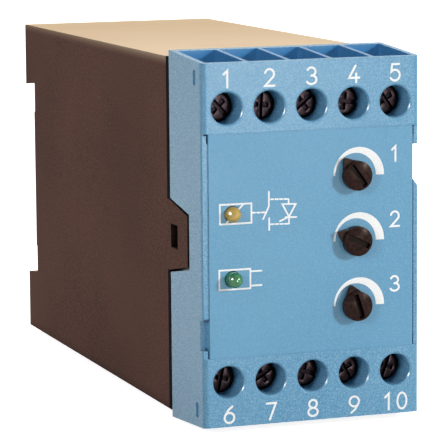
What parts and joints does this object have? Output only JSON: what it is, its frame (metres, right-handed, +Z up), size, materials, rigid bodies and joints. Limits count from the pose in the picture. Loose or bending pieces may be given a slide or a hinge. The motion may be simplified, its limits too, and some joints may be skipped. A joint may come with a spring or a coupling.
{
  "type": "soft starter",
  "caption": "Rail-mounted motor soft starter with screw terminals in two rows, setting knobs, indicator lamps and a sprung rail latch.",
  "frame": {"origin": "middle of the rail seat, the flat at the back that meets the rail's flanges", "axes": "+X to the viewer's right, +Y from the front to the back, +Z up"},
  "size_m": [0.045, 0.1246, 0.073],
  "materials": {
    "dark_plastic": "fine moulded texture",
    "blue_plastic": "fine moulded texture",
    "blue_plate": "fine moulded texture with white print",
    "latch_plastic": "moulded",
    "spring_steel": "bright wire",
    "yellow_lens": "tinted clear resin",
    "green_lens": "tinted clear resin",
    "board": "solder resist",
    "black_resin": "moulded",
    "aluminium": "extruded",
    "zinc_steel": "zinc plated",
    "screw_steel": "dark plated",
    "brass": "tinned brass",
    "relay_plastic": "moulded",
    "core_steel": "varnished laminations",
    "sleeve": "shrink sleeve",
    "knob_plastic": "polished",
    "trimmer_plastic": "moulded",
    "rotor_plastic": "moulded"
  },
  "bodies": {
    "housing": {"rear_case": "dark_plastic", "front_shell": "blue_plastic", "front_plate": "blue_plate", "latch_spring": "spring_steel", "led_yellow": "yellow_lens", "led_green": "green_lens", "contact_bar_1": "brass", "contact_bar_2": "brass", "contact_bar_3": "brass", "contact_bar_4": "brass", "contact_bar_5": "brass", "contact_bar_6": "brass", "contact_bar_7": "brass", "contact_bar_8": "brass", "contact_bar_9": "brass", "contact_bar_10": "brass", "trimmer_body_1": "trimmer_plastic", "trimmer_body_2": "trimmer_plastic", "trimmer_body_3": "trimmer_plastic", "control_board": "board", "microcontroller": "black_resin", "board_header": "black_resin", "power_board": "board", "heat_sink": "aluminium", "thyristor_1": "black_resin", "thyristor_2": "black_resin", "thyristor_screws": "zinc_steel", "bypass_relay_1": "relay_plastic", "bypass_relay_2": "relay_plastic", "transformer": "core_steel", "capacitors": "sleeve"},
    "knob_1_body": {"knob_1": "knob_plastic", "trimmer_rotor_1": "rotor_plastic"},
    "knob_2_body": {"knob_2": "knob_plastic", "trimmer_rotor_2": "rotor_plastic"},
    "knob_3_body": {"knob_3": "knob_plastic", "trimmer_rotor_3": "rotor_plastic"},
    "screw_1_body": {"terminal_screw_1": "screw_steel"},
    "cage_1_body": {"clamp_cage_1": "zinc_steel"},
    "screw_2_body": {"terminal_screw_2": "screw_steel"},
    "cage_2_body": {"clamp_cage_2": "zinc_steel"},
    "screw_3_body": {"terminal_screw_3": "screw_steel"},
    "cage_3_body": {"clamp_cage_3": "zinc_steel"},
    "screw_4_body": {"terminal_screw_4": "screw_steel"},
    "cage_4_body": {"clamp_cage_4": "zinc_steel"},
    "screw_5_body": {"terminal_screw_5": "screw_steel"},
    "cage_5_body": {"clamp_cage_5": "zinc_steel"},
    "screw_6_body": {"terminal_screw_6": "screw_steel"},
    "cage_6_body": {"clamp_cage_6": "zinc_steel"},
    "screw_7_body": {"terminal_screw_7": "screw_steel"},
    "cage_7_body": {"clamp_cage_7": "zinc_steel"},
    "screw_8_body": {"terminal_screw_8": "screw_steel"},
    "cage_8_body": {"clamp_cage_8": "zinc_steel"},
    "screw_9_body": {"terminal_screw_9": "screw_steel"},
    "cage_9_body": {"clamp_cage_9": "zinc_steel"},
    "screw_10_body": {"terminal_screw_10": "screw_steel"},
    "cage_10_body": {"clamp_cage_10": "zinc_steel"},
    "latch_body": {"din_latch": "latch_plastic"}
  },
  "joints": [
    {"name": "knob_1_turn", "type": "hinge", "parent": "housing", "child": "knob_1_body", "pos_m": [0.009, -0.1155, 0.0125], "axis": [0, 1, 0], "range_deg": [-54, 126]},
    {"name": "knob_2_turn", "type": "hinge", "parent": "housing", "child": "knob_2_body", "pos_m": [0.009, -0.1155, -0.0003], "axis": [0, 1, 0], "range_deg": [-26, 154]},
    {"name": "knob_3_turn", "type": "hinge", "parent": "housing", "child": "knob_3_body", "pos_m": [0.009, -0.1155, -0.0131], "axis": [0, 1, 0], "range_deg": [-73, 107]},
    {"name": "screw_1_turn", "type": "hinge", "parent": "housing", "child": "screw_1_body", "pos_m": [-0.0174, -0.1105, 0.0265], "axis": [0, 1, 0], "range_deg": [0, 1800]},
    {"name": "cage_1_slide", "type": "slide", "parent": "housing", "child": "cage_1_body", "axis": [0, -1, 0], "range_m": [0, 0.003]},
    {"name": "screw_2_turn", "type": "hinge", "parent": "housing", "child": "screw_2_body", "pos_m": [-0.0087, -0.1105, 0.0265], "axis": [0, 1, 0], "range_deg": [0, 1800]},
    {"name": "cage_2_slide", "type": "slide", "parent": "housing", "child": "cage_2_body", "axis": [0, -1, 0], "range_m": [0, 0.003]},
    {"name": "screw_3_turn", "type": "hinge", "parent": "housing", "child": "screw_3_body", "pos_m": [0, -0.1105, 0.0265], "axis": [0, 1, 0], "range_deg": [0, 1800]},
    {"name": "cage_3_slide", "type": "slide", "parent": "housing", "child": "cage_3_body", "axis": [0, -1, 0], "range_m": [0, 0.003]},
    {"name": "screw_4_turn", "type": "hinge", "parent": "housing", "child": "screw_4_body", "pos_m": [0.0087, -0.1105, 0.0265], "axis": [0, 1, 0], "range_deg": [0, 1800]},
    {"name": "cage_4_slide", "type": "slide", "parent": "housing", "child": "cage_4_body", "axis": [0, -1, 0], "range_m": [0, 0.003]},
    {"name": "screw_5_turn", "type": "hinge", "parent": "housing", "child": "screw_5_body", "pos_m": [0.0174, -0.1105, 0.0265], "axis": [0, 1, 0], "range_deg": [0, 1800]},
    {"name": "cage_5_slide", "type": "slide", "parent": "housing", "child": "cage_5_body", "axis": [0, -1, 0], "range_m": [0, 0.003]},
    {"name": "screw_6_turn", "type": "hinge", "parent": "housing", "child": "screw_6_body", "pos_m": [-0.0174, -0.1105, -0.0265], "axis": [0, 1, 0], "range_deg": [0, 1800]},
    {"name": "cage_6_slide", "type": "slide", "parent": "housing", "child": "cage_6_body", "axis": [0, -1, 0], "range_m": [0, 0.003]},
    {"name": "screw_7_turn", "type": "hinge", "parent": "housing", "child": "screw_7_body", "pos_m": [-0.0087, -0.1105, -0.0265], "axis": [0, 1, 0], "range_deg": [0, 1800]},
    {"name": "cage_7_slide", "type": "slide", "parent": "housing", "child": "cage_7_body", "axis": [0, -1, 0], "range_m": [0, 0.003]},
    {"name": "screw_8_turn", "type": "hinge", "parent": "housing", "child": "screw_8_body", "pos_m": [0, -0.1105, -0.0265], "axis": [0, 1, 0], "range_deg": [0, 1800]},
    {"name": "cage_8_slide", "type": "slide", "parent": "housing", "child": "cage_8_body", "axis": [0, -1, 0], "range_m": [0, 0.003]},
    {"name": "screw_9_turn", "type": "hinge", "parent": "housing", "child": "screw_9_body", "pos_m": [0.0087, -0.1105, -0.0265], "axis": [0, 1, 0], "range_deg": [0, 1800]},
    {"name": "cage_9_slide", "type": "slide", "parent": "housing", "child": "cage_9_body", "axis": [0, -1, 0], "range_m": [0, 0.003]},
    {"name": "screw_10_turn", "type": "hinge", "parent": "housing", "child": "screw_10_body", "pos_m": [0.0174, -0.1105, -0.0265], "axis": [0, 1, 0], "range_deg": [0, 1800]},
    {"name": "cage_10_slide", "type": "slide", "parent": "housing", "child": "cage_10_body", "axis": [0, -1, 0], "range_m": [0, 0.003]},
    {"name": "latch_slide", "type": "slide", "parent": "housing", "child": "latch_body", "axis": [0, 0, -1], "range_m": [0, 0.004], "stiffness_N_per_m": 300, "springref_m": -0.004, "deforming": ["latch_spring"]}
  ],
  "couplings": [
    {"joint": "screw_1_turn", "follows": "cage_1_slide", "rad_per_m": 10472},
    {"joint": "screw_2_turn", "follows": "cage_2_slide", "rad_per_m": 10472},
    {"joint": "screw_3_turn", "follows": "cage_3_slide", "rad_per_m": 10472},
    {"joint": "screw_4_turn", "follows": "cage_4_slide", "rad_per_m": 10472},
    {"joint": "screw_5_turn", "follows": "cage_5_slide", "rad_per_m": 10472},
    {"joint": "screw_6_turn", "follows": "cage_6_slide", "rad_per_m": 10472},
    {"joint": "screw_7_turn", "follows": "cage_7_slide", "rad_per_m": 10472},
    {"joint": "screw_8_turn", "follows": "cage_8_slide", "rad_per_m": 10472},
    {"joint": "screw_9_turn", "follows": "cage_9_slide", "rad_per_m": 10472},
    {"joint": "screw_10_turn", "follows": "cage_10_slide", "rad_per_m": 10472}
  ]
}
